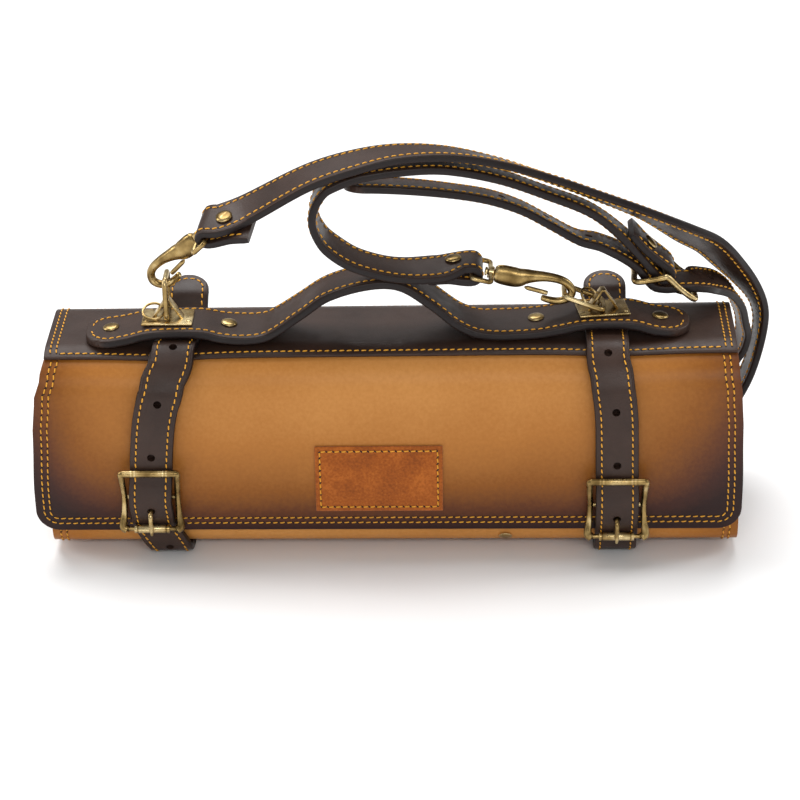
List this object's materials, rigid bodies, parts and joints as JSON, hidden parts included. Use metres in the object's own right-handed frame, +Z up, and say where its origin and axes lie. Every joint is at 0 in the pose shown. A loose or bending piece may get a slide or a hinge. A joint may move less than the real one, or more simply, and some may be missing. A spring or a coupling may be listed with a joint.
{
  "type": "leather knife roll",
  "caption": "Rolled leather knife case closed by roller-buckle straps, with a riveted carry handle and a clip-on shoulder strap.",
  "frame": {"origin": "middle of the whole part in plan, on the surface that the two buckle straps stand on", "axes": "+X along the roll to the end with the hanging strap, -Y towards the front flap, +Z up"},
  "size_m": [0.445, 0.1408, 0.2538],
  "materials": {
    "tan_leather": "tan pull-up leather, burnished darker at its edges",
    "dark_leather": "dark brown oiled leather with yellow stitching",
    "patch_leather": "rust brown suede-like leather",
    "antique_brass": "satin antique brass plating, darker in its hollows"
  },
  "bodies": {
    "roll": {"roll_body": "tan_leather", "top_panel": "dark_leather", "name_patch": "patch_leather", "edge_stud": "antique_brass", "buckle_strap_left": "dark_leather", "buckle_strap_right": "dark_leather", "buckle_holder_left": "dark_leather", "buckle_holder_right": "dark_leather", "buckle_frame_left": "antique_brass", "buckle_frame_right": "antique_brass", "buckle_roller_left": "antique_brass", "buckle_roller_right": "antique_brass", "buckle_prong_left": "antique_brass", "buckle_prong_right": "antique_brass", "carry_handle": "dark_leather", "handle_rivet_1": "antique_brass", "handle_rivet_2": "antique_brass", "handle_rivet_3": "antique_brass", "handle_rivet_4": "antique_brass", "ring_mount_left": "antique_brass", "ring_mount_right": "antique_brass", "square_ring_left": "antique_brass", "square_ring_right": "antique_brass", "round_ring_left": "antique_brass", "round_ring_right": "antique_brass", "swivel_loop_left": "antique_brass", "swivel_loop_right": "antique_brass", "shoulder_strap_long": "dark_leather", "shoulder_strap_short": "dark_leather", "shoulder_buckle": "antique_brass", "shoulder_prong": "antique_brass", "strap_rivet_left": "antique_brass", "strap_rivet_right": "antique_brass", "strap_rivet_buckle": "antique_brass"},
    "hook_left": {"snap_hook_left": "antique_brass"},
    "gate_left": {"snap_gate_left": "antique_brass"},
    "hook_right": {"snap_hook_right": "antique_brass"},
    "gate_right": {"snap_gate_right": "antique_brass"}
  },
  "joints": [
    {"name": "swivel_left", "type": "hinge", "parent": "roll", "child": "hook_left", "pos_m": [-0.12063, -0.03153, 0.20129], "axis": [-0.6241, 0.345, -0.7011], "range_deg": [-12, 12]},
    {"name": "gate_hinge_left", "type": "hinge", "parent": "hook_left", "child": "gate_left", "pos_m": [-0.1279, -0.02553, 0.1859], "axis": [0.2292, 0.9386, 0.2579], "range_deg": [0, 18], "stiffness_Nm_per_rad": 0.02},
    {"name": "swivel_right", "type": "hinge", "parent": "roll", "child": "hook_right", "pos_m": [0.05441, -0.01362, 0.1708], "axis": [0.9715, 0, -0.2369], "range_deg": [-12, 12]},
    {"name": "gate_hinge_right", "type": "hinge", "parent": "hook_right", "child": "gate_right", "pos_m": [0.07018, -0.01362, 0.16202], "axis": [0, -1, 0], "range_deg": [0, 18], "stiffness_Nm_per_rad": 0.02}
  ]
}
